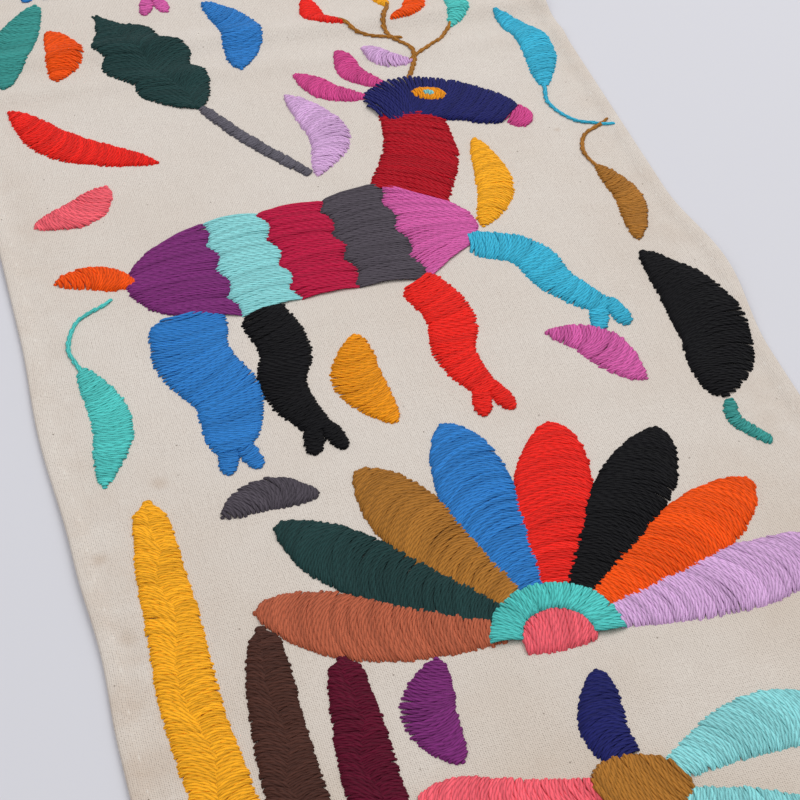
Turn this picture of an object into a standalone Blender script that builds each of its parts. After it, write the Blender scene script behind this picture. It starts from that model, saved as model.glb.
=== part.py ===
"""A long narrow runner of unbleached plain-woven cotton, laid flat on a surface.

The cloth is one piece with a narrow hem turned on all four sides. It still carries two soft
storage creases across its far half, and its long edges wander where the needlework drew the
cloth in. X runs across the cloth, Y along it, and the surface it lies on is z = 0.
"""
import math

import bmesh
import bpy

MM = 0.001

# Driving sizes of the cloth, in metres
CLOTH_WIDTH = 250 * MM
CLOTH_LENGTH = 900 * MM
CLOTH_THICKNESS = 1.0 * MM
HEM_WIDTH = 5 * MM
HEM_THICKNESS = 1.9 * MM
EDGE_ROUNDING = 0.45 * MM

# The step where the turned hem ends and the single cloth begins
HEM_STEP = 1.2 * MM

# Mesh spacing: across between the hems, and along in the plain and the creased stretches
COLUMN_SPACING = 16 * MM
PLAIN_ROW_SPACING = 15 * MM
CREASE_ROW_SPACING = 4 * MM

# Storage creases: where each meets the left and the right edge, its height at both edges,
# and half the width over which the cloth leaves the surface
CREASES = (
    # left_y, right_y, left_rise, right_rise, half_width
    (169 * MM, 149 * MM, 2.2 * MM, 2.8 * MM, 11 * MM),
    (145 * MM, 124 * MM, 1.6 * MM, 1.0 * MM, 9 * MM),
    (-312 * MM, -300 * MM, 1.4 * MM, 2.0 * MM, 12 * MM),
)

# Where a long edge bows out (or in, below zero), and over what stretch
EDGE_BOWS = (
    # side, middle_y, bow_out, half_length
    (1, -38 * MM, 4.6 * MM, 48 * MM),
    (-1, -58 * MM, 1.7 * MM, 52 * MM),
    (-1, -156 * MM, -1.3 * MM, 36 * MM),
    (1, -235 * MM, -1.6 * MM, 60 * MM),
    (-1, 275 * MM, 4.6 * MM, 70 * MM),
    (1, 300 * MM, -1.5 * MM, 55 * MM),
    (-1, -350 * MM, 1.4 * MM, 50 * MM),
)

# Low lifts of the blank margins, where the stitching pulls and the hem stands off the surface
MARGIN_LIFTS = (
    # side, middle_y, rise, half_length
    (1, -40 * MM, 1.6 * MM, 55 * MM),
    (-1, -120 * MM, 1.4 * MM, 60 * MM),
    (-1, 60 * MM, 1.0 * MM, 60 * MM),
    (1, 250 * MM, 1.2 * MM, 60 * MM),
    (-1, -300 * MM, 1.0 * MM, 55 * MM),
    (1, -260 * MM, 1.0 * MM, 55 * MM),
)
MARGIN_REACH = 38 * MM

CLOTH_COLOUR = (0.72, 0.64, 0.55, 1.0)
CLOTH_ROUGHNESS = 0.92


def clear_scene():
    """Remove whatever the open file holds."""
    for thing in list(bpy.data.objects):
        bpy.data.objects.remove(thing, do_unlink=True)


def hump(distance, half_width):
    """A smooth bump: 1 at its middle, 0 from half_width on, level at both."""
    reach = min(abs(distance) / half_width, 1.0)
    return 0.5 + 0.5 * math.cos(math.pi * reach)


def crease_line(crease, x):
    """The y of a crease at a place across the cloth, and its height there."""
    left_y, right_y, left_rise, right_rise, half_width = crease
    across = x / CLOTH_WIDTH + 0.5
    y = left_y + (right_y - left_y) * across
    rise = left_rise + (right_rise - left_rise) * across
    return y, rise, half_width


def lift(x, y):
    """How far the underside stands off the surface at a place on the cloth."""
    height = 0.0
    for crease in CREASES:
        crease_y, rise, half_width = crease_line(crease, x)
        height += rise * hump(y - crease_y, half_width)
    for side, middle_y, rise, half_length in MARGIN_LIFTS:
        from_edge = CLOTH_WIDTH / 2 - side * x
        height += rise * hump(y - middle_y, half_length) * hump(from_edge, MARGIN_REACH)
    return height


def edge_bow(side, y):
    """How far one long edge stands outside its straight line at y."""
    return sum(
        bow * hump(y - middle_y, half_length)
        for bow_side, middle_y, bow, half_length in EDGE_BOWS
        if bow_side == side
    )


def laid_x(x, y):
    """Where a place across the flat cloth comes to lie, with the edges bowed."""
    side = 1 if x > 0 else -1
    share = abs(x) / (CLOTH_WIDTH / 2)
    return x + side * share * edge_bow(side, y)


def spread(start, end, spacing):
    """Places from start up to end, evenly spaced by about the spacing, without the end."""
    count = max(1, round((end - start) / spacing))
    return [start + (end - start) * step / count for step in range(count)]


def column_places():
    """Places across the cloth, closer together at the hems."""
    edge = CLOTH_WIDTH / 2
    hem = edge - HEM_WIDTH
    inner = hem - HEM_STEP
    between = spread(-inner, inner, COLUMN_SPACING)
    return [-edge, -hem] + between + [inner, hem, edge]


def row_places():
    """Places along the cloth, closer together at the end hems and over the creases."""
    end = CLOTH_LENGTH / 2
    hem = end - HEM_WIDTH
    inner = hem - HEM_STEP
    rows = [-end, -hem]
    start = -inner
    stretches = []
    for left_y, right_y, _, _, half_width in CREASES:
        stretches.append((min(left_y, right_y) - half_width, max(left_y, right_y) + half_width))
    for low, high in sorted(stretches):
        if low > start:
            rows += spread(start, low, PLAIN_ROW_SPACING)
            start = low
        rows += spread(start, high, CREASE_ROW_SPACING)
        start = high
    rows += spread(start, inner, PLAIN_ROW_SPACING)
    return rows + [inner, hem, end]


def in_hem(x, y):
    """Whether a place on the flat cloth is within the turned hem."""
    near_side = abs(x) > CLOTH_WIDTH / 2 - HEM_WIDTH - HEM_STEP / 2
    near_end = abs(y) > CLOTH_LENGTH / 2 - HEM_WIDTH - HEM_STEP / 2
    return near_side or near_end


def make_underside():
    """The cloth's underside as an open sheet, and which of its points are in the hem."""
    columns = column_places()
    rows = row_places()
    sheet = bmesh.new()
    bmesh.ops.create_grid(
        sheet, x_segments=len(columns) - 1, y_segments=len(rows) - 1, size=0.5
    )
    sheet.verts.ensure_lookup_table()
    hem_points = []
    for point in sheet.verts:
        x = columns[round((point.co.x + 0.5) * (len(columns) - 1))]
        y = rows[round((point.co.y + 0.5) * (len(rows) - 1))]
        if in_hem(x, y):
            hem_points.append(point.index)
        point.co = (laid_x(x, y), y, lift(x, y))
    mesh = bpy.data.meshes.new("cloth")
    sheet.to_mesh(mesh)
    sheet.free()
    return mesh, hem_points


def cotton_material():
    """Unbleached cotton: matt, warm off-white."""
    material = bpy.data.materials.new("unbleached cotton")
    material.use_nodes = True
    shader = material.node_tree.nodes["Principled BSDF"]
    shader.inputs["Base Color"].default_value = CLOTH_COLOUR
    shader.inputs["Roughness"].default_value = CLOTH_ROUGHNESS
    shader.inputs["Metallic"].default_value = 0.0
    material.diffuse_color = CLOTH_COLOUR
    return material


def make_cloth(collection):
    """The cloth: the underside thickened upwards, thicker in the hem, its rims rounded."""
    mesh, hem_points = make_underside()
    mesh.materials.append(cotton_material())
    cloth = bpy.data.objects.new("cloth", mesh)
    collection.objects.link(cloth)

    hem_group = cloth.vertex_groups.new(name="turned hem")
    hem_group.add(hem_points, 1.0, "REPLACE")
    thicken = cloth.modifiers.new("cloth thickness", "SOLIDIFY")
    thicken.thickness = HEM_THICKNESS
    thicken.offset = 1.0
    thicken.vertex_group = hem_group.name
    thicken.thickness_vertex_group = CLOTH_THICKNESS / HEM_THICKNESS

    rounding = cloth.modifiers.new("rounded rim", "BEVEL")
    rounding.width = EDGE_ROUNDING
    rounding.segments = 2
    rounding.limit_method = "ANGLE"
    rounding.angle_limit = math.radians(60)
    mesh.shade_smooth()
    return cloth


def main():
    clear_scene()
    collection = bpy.data.collections.new("embroidered cotton runner")
    bpy.context.scene.collection.children.link(collection)
    make_cloth(collection)


main()
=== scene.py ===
# %% [markdown]
# # An embroidered cotton runner, laid flat
# The object is a narrow runner of unbleached, plain-woven cotton. Bright stranded floss covers it:
# two horned animals with banded bodies, a fan of leaves, half flowers, long blades, and single
# leaves on thin stalks. This lesson builds the cloth first, then one stitch, and then the whole
# needlework, by giving that one stitch to Geometry Nodes.

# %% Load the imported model
import math

import bmesh
import bpy
import numpy as np
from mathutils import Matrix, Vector


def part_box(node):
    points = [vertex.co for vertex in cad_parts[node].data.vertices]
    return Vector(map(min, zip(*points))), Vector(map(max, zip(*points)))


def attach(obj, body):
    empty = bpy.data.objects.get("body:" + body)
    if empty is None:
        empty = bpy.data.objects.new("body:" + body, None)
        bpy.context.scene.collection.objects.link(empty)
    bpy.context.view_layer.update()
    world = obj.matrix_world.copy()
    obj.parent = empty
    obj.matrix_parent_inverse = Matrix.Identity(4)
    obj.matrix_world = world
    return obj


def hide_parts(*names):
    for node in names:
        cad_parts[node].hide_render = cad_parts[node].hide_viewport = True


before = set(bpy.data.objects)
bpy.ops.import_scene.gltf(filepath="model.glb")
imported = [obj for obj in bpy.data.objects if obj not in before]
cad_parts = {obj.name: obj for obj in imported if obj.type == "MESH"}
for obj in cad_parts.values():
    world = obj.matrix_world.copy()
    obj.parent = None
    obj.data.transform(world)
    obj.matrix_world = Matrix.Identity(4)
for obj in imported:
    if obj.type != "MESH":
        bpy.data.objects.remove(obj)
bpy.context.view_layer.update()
cloth_low, cloth_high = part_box("cloth")
print("cloth solid from", cloth_low, "to", cloth_high)

# %% [markdown]
# ## Four helpers
# Nothing on the real object matches this step: it only keeps the others short. Every tree below,
# for geometry or for a material, is made with one function that adds a node, sets its options and
# fills its sockets with values or with links. Nodes could be placed by hand in the editor, but a
# script can be read and run again. Colours are written as the hex values seen on screen, and one
# function turns them into the linear values that shaders use. The last two start a material from
# the constants of its shader, and put an object into the scene.

# %% Helpers for nodes, colours, materials and objects
MM = 0.001
MATH = "ShaderNodeMath"
VECTOR_MATH = "ShaderNodeVectorMath"


def add(tree, kind, inputs=(), out=0, **options):
    """Add a node and return one of its output sockets, the first unless out names another.

    Options are the node's settings. Inputs are its sockets, in order or by name, each a plain
    value or another node's output socket to link from.
    """
    made = tree.nodes.new(kind)
    for option, choice in options.items():
        setattr(made, option, choice)
    named = inputs.items() if isinstance(inputs, dict) else enumerate(inputs)
    for name, value in named:
        if isinstance(value, bpy.types.NodeSocket):
            tree.links.new(value, made.inputs[name])
        else:
            made.inputs[name].default_value = value
    return made.outputs[out] if len(made.outputs) else None


def linear(hex_colour):
    """The linear colour of an sRGB hex value such as D8CFC8, with full alpha."""
    parts = [int(hex_colour[start:start + 2], 16) / 255 for start in (0, 2, 4)]
    straight = [c / 12.92 if c <= 0.04045 else ((c + 0.055) / 1.055) ** 2.4 for c in parts]
    return (*straight, 1.0)


def new_material(name, settings):
    """A new material and its Principled shader, with constants set on the shader's sockets."""
    material = bpy.data.materials.new(name)
    material.use_nodes = True
    shader = material.node_tree.nodes["Principled BSDF"]
    for socket, value in settings.items():
        shader.inputs[socket].default_value = value
    return material, shader


def new_object(name, data):
    """A new object that is linked to the scene."""
    made = bpy.data.objects.new(name, data)
    bpy.context.scene.collection.objects.link(made)
    return made


print("paper white is", linear("FFFFFF"))

# %% [markdown]
# ## How the cloth lies
# The cloth is limp, so it rests on the surface almost everywhere. Two soft storage creases cross
# its far half and one crosses the near half, its blank margins stand off the surface a little
# where the stitching pulls, and its long edges bow in and out. A cloth simulation would settle
# such a thin sheet into something smoother than the real one. So each crease, lift and bow is set
# by a row of a short table, as a smooth hump, and the needlework is later laid on the same
# functions.

# %% The cloth's sizes, and its creases, bows and lifts
CLOTH_WIDTH = 250 * MM
CLOTH_LENGTH = 900 * MM
CLOTH_THICKNESS = 1.0 * MM
HEM_WIDTH = 5 * MM
HEM_THICKNESS = 1.9 * MM

CREASES = (
    # left_y, right_y, left_rise, right_rise, half_width
    (169 * MM, 149 * MM, 2.2 * MM, 2.8 * MM, 11 * MM),
    (145 * MM, 124 * MM, 1.6 * MM, 1.0 * MM, 9 * MM),
    (-312 * MM, -300 * MM, 1.4 * MM, 2.0 * MM, 12 * MM),
)
EDGE_BOWS = (
    # side, middle_y, bow_out, half_length
    (1, -38 * MM, 4.6 * MM, 48 * MM),
    (-1, -58 * MM, 1.7 * MM, 52 * MM),
    (-1, -156 * MM, -1.3 * MM, 36 * MM),
    (1, -235 * MM, -1.6 * MM, 60 * MM),
    (-1, 275 * MM, 4.6 * MM, 70 * MM),
    (1, 300 * MM, -1.5 * MM, 55 * MM),
    (-1, -350 * MM, 1.4 * MM, 50 * MM),
)
MARGIN_LIFTS = (
    # side, middle_y, rise, half_length
    (1, -40 * MM, 1.6 * MM, 55 * MM),
    (-1, -120 * MM, 0.5 * MM, 60 * MM),
    (-1, 60 * MM, 0.6 * MM, 60 * MM),
    (1, 250 * MM, 1.2 * MM, 60 * MM),
    (-1, -300 * MM, 1.0 * MM, 55 * MM),
    (1, -260 * MM, 1.0 * MM, 55 * MM),
)
MARGIN_REACH = 38 * MM
PUCKER_RISE = 0.14 * MM
PUCKER_LENGTHS = (31 * MM, 19 * MM, 12 * MM)
PUCKER_TURN = 0.9  # radians from one set of waves to the next
PUCKER_STRETCH = 1.7  # the waves' length across against that along
print("creases, bowed stretches and lifted margins:", len(CREASES), len(EDGE_BOWS),
      len(MARGIN_LIFTS))

# %% [markdown]
# ## Humps that shape the cloth
# A crease or a lifted margin has no sharp start: the cloth rises slowly, rounds over and comes
# down again. A drawn curve would need handles at every end, while a cosine gives such a hump in
# one line. The functions below add up the humps at any place on the flat cloth.

# %% Lifts, bows and puckers as functions
def hump(distance, half_width):
    """A smooth bump: 1 at its middle, 0 from half_width on, level at both."""
    reach = np.minimum(np.abs(distance) / half_width, 1.0)
    return 0.5 + 0.5 * np.cos(math.pi * reach)


def lift(x, y):
    """How far the underside stands off the surface."""
    height = np.zeros_like(x)
    across = x / CLOTH_WIDTH + 0.5
    for left_y, right_y, left_rise, right_rise, half_width in CREASES:
        crease_y = left_y + (right_y - left_y) * across
        rise = left_rise + (right_rise - left_rise) * across
        height += rise * hump(y - crease_y, half_width)
    for side, middle_y, rise, half_length in MARGIN_LIFTS:
        inward = CLOTH_WIDTH / 2 - side * x
        height += rise * hump(y - middle_y, half_length) * hump(inward, MARGIN_REACH)
    return height


def laid_x(x, y):
    """Where a place across the flat cloth comes to lie, with the edges bowed."""
    moved = x.copy()
    share = np.abs(x) / (CLOTH_WIDTH / 2)
    for side, middle_y, bow, half_length in EDGE_BOWS:
        on_side = (x * side > 0) * share
        moved += side * on_side * bow * hump(y - middle_y, half_length)
    return moved


def pucker(x, y):
    """Low, soft unevenness of the cloth between the stitches."""
    height = np.zeros_like(x)
    for number, length in enumerate(PUCKER_LENGTHS, start=1):
        turn = PUCKER_TURN * number
        along = x * math.cos(turn) + y * math.sin(turn)
        beside = y * math.cos(turn) - x * math.sin(turn)
        waves = np.sin(2 * math.pi * along / length + number)
        waves *= np.sin(2 * math.pi * beside / (PUCKER_STRETCH * length) + 2 * number)
        height += PUCKER_RISE * waves / number ** 0.5
    return height


def from_edge(x, y):
    """Distance from the nearest cut edge of the flat cloth."""
    return np.minimum(CLOTH_WIDTH / 2 - np.abs(x), CLOTH_LENGTH / 2 - np.abs(y))


print("highest lift along the middle, mm:",
      lift(np.zeros(901), np.linspace(-0.45, 0.45, 901)).max() / MM)

# %% [markdown]
# ## The turned hem
# The hem is the cloth's own edge, turned twice and slip-stitched from below, so its stitches
# hardly show on the face and it belongs to the same mesh: a rounded rim about twice as thick as
# the cloth, then a soft step down that puckers a little where the sewing pulls. It could be
# modelled as real folds, but these are closed inside the hem. The thickness is a function of the
# distance from the edge.

# %% The hem and the upper face as functions
HEM_STEP = 5.4 * MM
HEM_PUCKER = 0.08 * MM
HEM_PUCKER_LENGTH = 5.2 * MM
HEM_PUCKER_REACH = 3.5 * MM
HEM_PUCKER_SHIFT = 3  # radians that the puckers move together and apart
HEM_SHIFTS = 9  # radians of that movement in 100 mm


def thickness(x, y):
    """The cloth's upper face above its underside, with the hem's step and puckers."""
    inward = from_edge(x, y)
    down = np.clip((inward - HEM_WIDTH) / HEM_STEP + 0.5, 0, 1)
    down = down * down * (3 - 2 * down)
    height = HEM_THICKNESS + (CLOTH_THICKNESS - HEM_THICKNESS) * down
    shift = HEM_PUCKER_SHIFT * np.sin(HEM_SHIFTS * (x + y) / (100 * MM))
    sway = np.sin(2 * math.pi * (x + y) / HEM_PUCKER_LENGTH + shift)
    return height + HEM_PUCKER * sway * hump(inward - HEM_WIDTH, HEM_PUCKER_REACH)


def rim_gap(x, y):
    """How far the rounded rim draws in from the upper face and from the underside."""
    radius = HEM_THICKNESS / 2
    short = np.clip(radius - from_edge(x, y), 0, radius)
    return radius - np.sqrt(radius ** 2 - short ** 2)


def cloth_top(x, y):
    """Height of the cloth's upper face at a place on the flat cloth."""
    soft = pucker(x, y) * np.clip(from_edge(x, y) / HEM_WIDTH - 1, 0, 1)
    return lift(x, y) + thickness(x, y) + soft


print("upper face in the middle, mm:", cloth_top(np.zeros(1), np.zeros(1))[0] / MM)

# %% [markdown]
# ## The cloth as one sheet
# A cut and hemmed cloth is a rectangle before it is laid down. A plane with Subdivision Surface
# and Solidify would do for an even sheet, but a grid that is denser at the hem serves best here,
# because the weave, the hem and the creases all follow straight lines along and across. A second
# grid makes the underside, and both share their rim, which closes the sheet. The UV map keeps each
# point's place on the flat cloth, so that the weave can follow the cloth.

# %% One side of the sheet as a grid
RIM_STEPS = (0, 0.08, 0.3, 0.6, 0.95, 1.7, 2.8, 3.8, 4.6, 5.2, 5.9, 6.8, 8.0, 9.6)
GRID_SPACING = 3.0 * MM


def grid_places(full):
    """Places over a full width or length, closer together at both rims."""
    rim = [step * MM for step in RIM_STEPS]
    inner = full / 2 - rim[-1]
    count = round(2 * inner / GRID_SPACING)
    middle = [-inner + 2 * inner * step / count for step in range(1, count)]
    return [-full / 2 + step for step in rim] + middle + [full / 2 - step for step in rim[::-1]]


def grid_side(name, columns, rows, height):
    """One side of the sheet as a grid whose points lie at height(x, y)."""
    side = bmesh.new()
    bmesh.ops.create_grid(side, x_segments=len(columns) - 1, y_segments=len(rows) - 1, size=0.5)
    mesh = bpy.data.meshes.new(name)
    side.to_mesh(mesh)
    side.free()
    places = np.empty(len(mesh.vertices) * 3)
    mesh.vertices.foreach_get("co", places)
    places = places.reshape(-1, 3)
    column = np.round((places[:, 0] + 0.5) * (len(columns) - 1)).astype(int)
    row = np.round((places[:, 1] + 0.5) * (len(rows) - 1)).astype(int)
    flat_x = np.array(columns)[column]
    flat_y = np.array(rows)[row]
    laid = np.stack([laid_x(flat_x, flat_y), flat_y, height(flat_x, flat_y)], axis=1)
    mesh.vertices.foreach_set("co", laid.ravel())
    # The UV map holds the flat cloth's own metres, so that the weave follows the cloth.
    corners = np.empty(len(mesh.loops), int)
    mesh.loops.foreach_get("vertex_index", corners)
    layer = mesh.uv_layers.new(name="UVMap")
    layer.data.foreach_set("uv", np.stack([flat_x, flat_y], axis=1)[corners].ravel())
    return mesh


print("columns and rows of points:", len(grid_places(CLOTH_WIDTH)),
      len(grid_places(CLOTH_LENGTH)))

# %% [markdown]
# ## Two faces that meet at the rim
# The real hem has no sharp edge, because the cloth is folded there. A strip of faces could close
# the sheet, but both grids draw in at the rim along the same round, so their outermost points
# meet and only have to be merged. The shading is smooth all over, as nothing on cloth is sharp.

# %% Join the upper face and the underside
def make_cloth():
    """The whole sheet: an upper face and an underside that meet at the rounded rim."""
    columns = grid_places(CLOTH_WIDTH)
    rows = grid_places(CLOTH_LENGTH)
    upper = grid_side("upper face", columns, rows,
                      lambda x, y: cloth_top(x, y) - rim_gap(x, y))
    under = grid_side("underside", columns, rows, lambda x, y: lift(x, y) + rim_gap(x, y))
    whole = bmesh.new()
    whole.from_mesh(under)
    bmesh.ops.reverse_faces(whole, faces=whole.faces)
    whole.from_mesh(upper)
    bmesh.ops.remove_doubles(whole, verts=whole.verts, dist=0.001 * MM)
    mesh = bpy.data.meshes.new("runner_cloth")
    whole.to_mesh(mesh)
    whole.free()
    mesh.shade_smooth()
    return new_object("runner_cloth", mesh)


cloth = make_cloth()
print("cloth faces:", len(cloth.data.polygons))

# %% [markdown]
# ## The plain weave
# The cloth is manta, a plain weave of thick carded cotton, about 15 threads to the centimetre.
# Each warp thread passes over one weft thread and under the next. The eye sees thread crowns and
# tiny pinholes where the threads cross, uneven because carded threads vary in thickness. The
# crowns get a painted highlight and the pinholes painted shade. An image texture could show it,
# but a formula stays sharp at every distance and its scale is real: two cosines give the threads,
# their product says which one lies on top, and noise lets the threads drift and opens some
# pinholes more than others.

# %% The weave's height and pinholes
WARP_PITCH = 0.655 * MM
WEFT_PITCH = 0.61 * MM
UNEVEN_LENGTH = 1.9 * MM
UNEVEN_DRIFT = 0.4 * MM
PINHOLE_LENGTH = 0.6 * MM
SLUB_LENGTH = 9 * MM


def woven_threads(tree, flat):
    """Height of the plain weave, and the painted shade of its pinholes, both from 0 to 1."""
    drift = add(tree, "ShaderNodeTexNoise", {"Vector": flat, "Scale": 1 / UNEVEN_LENGTH,
                "Detail": 1.0}, out="Color")
    drift = add(tree, VECTOR_MATH, (drift, (0.5, 0.5, 0.5)), operation="SUBTRACT")
    uneven = add(tree, VECTOR_MATH, (drift, (UNEVEN_DRIFT,) * 3, flat), operation="MULTIPLY_ADD")
    across, along, _ = add(tree, "ShaderNodeSeparateXYZ", (uneven,)).node.outputs
    waves = []
    threads = []
    for place, pitch in ((across, WARP_PITCH), (along, WEFT_PITCH)):
        angle = add(tree, MATH, (place, math.pi / pitch), operation="MULTIPLY")
        wave = add(tree, MATH, (angle,), operation="COSINE")
        waves.append(wave)
        threads.append(add(tree, MATH, (wave,), operation="ABSOLUTE"))
    over = add(tree, MATH, waves, operation="MULTIPLY")
    warp_up = add(tree, "ShaderNodeMapRange", {"Value": over, "From Min": -0.6, "From Max": 0.6})
    weft_up = add(tree, MATH, (1.0, warp_up), operation="SUBTRACT")
    warp = add(tree, MATH, (threads[0], warp_up), operation="MULTIPLY")
    weft = add(tree, MATH, (threads[1], weft_up), operation="MULTIPLY")
    height = add(tree, MATH, (warp, weft), operation="MAXIMUM")
    fuller = add(tree, MATH, threads, operation="MAXIMUM")
    gap = add(tree, "ShaderNodeMapRange", {"Value": fuller, "From Min": 0.3, "From Max": 0.9,
              "To Min": 1.0, "To Max": 0.0})
    cloud = add(tree, "ShaderNodeTexNoise", {"Vector": flat, "Scale": 1 / PINHOLE_LENGTH,
                "Detail": 0.0})
    open_here = add(tree, "ShaderNodeMapRange", {"Value": cloud, "From Min": 0.35,
                    "From Max": 0.68, "To Min": 0.22})
    pinhole_shade = add(tree, MATH, (gap, open_here), operation="MULTIPLY")
    return height, pinhole_shade


def slubs(tree, flat):
    """Thicker, paler threads: noise drawn out along the warp and along the weft."""
    streaks = []
    for scale in ((1 / SLUB_LENGTH, 1 / WEFT_PITCH, 1.0), (1 / WARP_PITCH, 1 / SLUB_LENGTH, 1.0)):
        drawn_out = add(tree, "ShaderNodeMapping", {"Vector": flat, "Scale": scale})
        streaks.append(add(tree, "ShaderNodeTexNoise",
                           {"Vector": drawn_out, "Scale": 1.0, "Detail": 1.0}))
    return add(tree, MATH, streaks, operation="ADD")


print("threads to the centimetre, warp and weft:", 10 * MM / WARP_PITCH, 10 * MM / WEFT_PITCH)

# %% [markdown]
# ## Marks of use
# A cloth that was made and kept by hand is not clean: it has warm blotches, is smeared along the
# hems and has a few small round stains. It is also drawn warmer and darker towards its near end,
# where the blotches and smears are stronger too. Painting all that by hand would take long, so
# noise at the size of the real blotches and smears makes them, and the few stains have places of
# their own.

# %% Soiling and stains
BLOTCH_LENGTH = 70 * MM
SMEAR_LENGTH = 13 * MM
SOILED_REACH = 42 * MM
RAMP_FULL_FROM = -250 * MM
RAMP_LOW_FROM = -60 * MM
STAINS = (
    # x, y, radius
    (98.5 * MM, 58.4 * MM, 2.2 * MM),
    (-92 * MM, -90 * MM, 4.5 * MM),
    (-117 * MM, -118 * MM, 4.0 * MM),
    (-116 * MM, -152 * MM, 5.0 * MM),
)


def soiling(tree, flat):
    """Warm blotches, smears along the hem, a few small stains, and a ramp towards the near end."""
    patches = []
    for length, detail in ((BLOTCH_LENGTH, 4.0), (SMEAR_LENGTH, 3.0)):
        cloud = add(tree, "ShaderNodeTexNoise", {"Vector": flat, "Scale": 1 / length,
                    "Detail": detail})
        patches.append(add(tree, "ShaderNodeMapRange",
                           {"Value": cloud, "From Min": 0.4, "From Max": 0.68}))
    across, along, _ = add(tree, "ShaderNodeSeparateXYZ", (flat,)).node.outputs
    # A ramp along the cloth, full at the near end and a third at the far end: it makes the cloth
    # warmer and darker there and strengthens blotches and smears
    toward_near_end = add(tree, "ShaderNodeMapRange", {"Value": along, "From Min": RAMP_FULL_FROM,
                  "From Max": RAMP_LOW_FROM, "To Min": 1.0, "To Max": 0.35})
    patchy = add(tree, MATH, (patches[0], toward_near_end), operation="MULTIPLY")
    inward = add(tree, MATH, (across,), operation="ABSOLUTE")
    near_hem = add(tree, "ShaderNodeMapRange", {"Value": inward,
                   "From Min": CLOTH_WIDTH / 2 - SOILED_REACH,
                   "From Max": CLOTH_WIDTH / 2 - HEM_WIDTH})
    smeared = add(tree, MATH, (near_hem, patches[1]), operation="MULTIPLY")
    smeared = add(tree, MATH, (smeared, toward_near_end), operation="MULTIPLY")
    stained = 0.0
    for x, y, radius in STAINS:
        away = add(tree, VECTOR_MATH, (flat, (x, y, 0.0)), out="Value", operation="DISTANCE")
        spot = add(tree, "ShaderNodeMapRange", {"Value": away, "From Max": radius,
                   "To Min": 1.0, "To Max": 0.0}, interpolation_type="SMOOTHSTEP")
        stained = add(tree, MATH, (spot, stained), operation="MAXIMUM")
    return toward_near_end, patchy, smeared, stained


print("round stains:", len(STAINS))

# %% [markdown]
# ## Seed specks and hem marks
# Unbleached cotton keeps dark bits of seed, about one in a patch of 20 mm. The hem is held from
# below, and its stitches catch the face only as a short pale mark every 13 mm. Both are too small
# to be worth a mesh. Voronoi cells scatter the specks, a disc in most of the cells, and the hem
# marks are where a line along the hem meets evenly spaced steps, shifted to and fro by slow noise.

# %% Seed specks and hem marks
SPECK_SPACING = 20 * MM
SPECK_RADIUS = 0.4 * MM
SPECK_CORE = 0.4  # share of the radius that is wholly dark
HEM_MARK_SPACING = 13 * MM
HEM_MARK_WANDER = 4 * HEM_MARK_SPACING
HEM_MARK_LENGTH = 1.3 * MM
HEM_MARK_WIDTH = 0.45 * MM


def seed_specks(tree, flat):
    """Bits of cotton seed: a small disc in most of many scattered cells."""
    cells = add(tree, "ShaderNodeTexVoronoi", {"Vector": flat, "Scale": 1 / SPECK_SPACING},
                voronoi_dimensions="2D")
    reach = SPECK_RADIUS / SPECK_SPACING
    disc = add(tree, "ShaderNodeMapRange", {"Value": cells, "From Min": SPECK_CORE * reach,
               "From Max": reach, "To Min": 1.0, "To Max": 0.0})
    chance = add(tree, "ShaderNodeSeparateColor", (cells.node.outputs["Color"],))
    chosen = add(tree, "ShaderNodeMapRange", {"Value": chance, "From Min": 0.3, "To Max": 0.85})
    return add(tree, MATH, (disc, chosen), operation="MULTIPLY")


def hem_marks(tree, flat):
    """Short pale marks where the stitches that hold the hem from below catch the face."""
    across, along, _ = add(tree, "ShaderNodeSeparateXYZ", (flat,)).node.outputs
    cloud = add(tree, "ShaderNodeTexNoise", {"Vector": flat, "Scale": 1 / BLOTCH_LENGTH})
    marks = []
    for beside, run, full in ((across, along, CLOTH_WIDTH), (along, across, CLOTH_LENGTH)):
        outward = add(tree, MATH, (beside,), operation="ABSOLUTE")
        from_line = add(tree, MATH, (outward, full / 2 - HEM_WIDTH), operation="SUBTRACT")
        from_line = add(tree, MATH, (from_line,), operation="ABSOLUTE")
        on_line = add(tree, "ShaderNodeMapRange", {"Value": from_line,
                      "From Max": HEM_MARK_WIDTH, "To Min": 1.0, "To Max": 0.0})
        uneven = add(tree, MATH, (cloud, HEM_MARK_WANDER, run), operation="MULTIPLY_ADD")
        from_mark = add(tree, MATH, (uneven, HEM_MARK_SPACING / 2), operation="PINGPONG")
        in_mark = add(tree, "ShaderNodeMapRange", {"Value": from_mark,
                      "From Max": HEM_MARK_LENGTH, "To Min": 1.0, "To Max": 0.0})
        marks.append(add(tree, MATH, (on_line, in_mark), operation="MULTIPLY"))
    return add(tree, MATH, marks, operation="MAXIMUM")


print("hem marks along one side:", round(CLOTH_LENGTH / HEM_MARK_SPACING))

# %% [markdown]
# ## Unbleached cotton
# The real finish is wholly matt and a little hairy, in the cream of cotton that was never
# bleached. A Principled shader with high roughness, a low specular level and a faint sheen gives
# that. The thread crowns, as a painted highlight, the pinholes, as painted shade, and all the marks
# are mixed over the cream one after the other, each with its own strength and tint, and the weave
# and the thicker threads drive one bump.

# %% Material: plain-woven cotton manta
SLUB_RELIEF = 0.35  # height of a thicker thread against that of the weave


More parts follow.
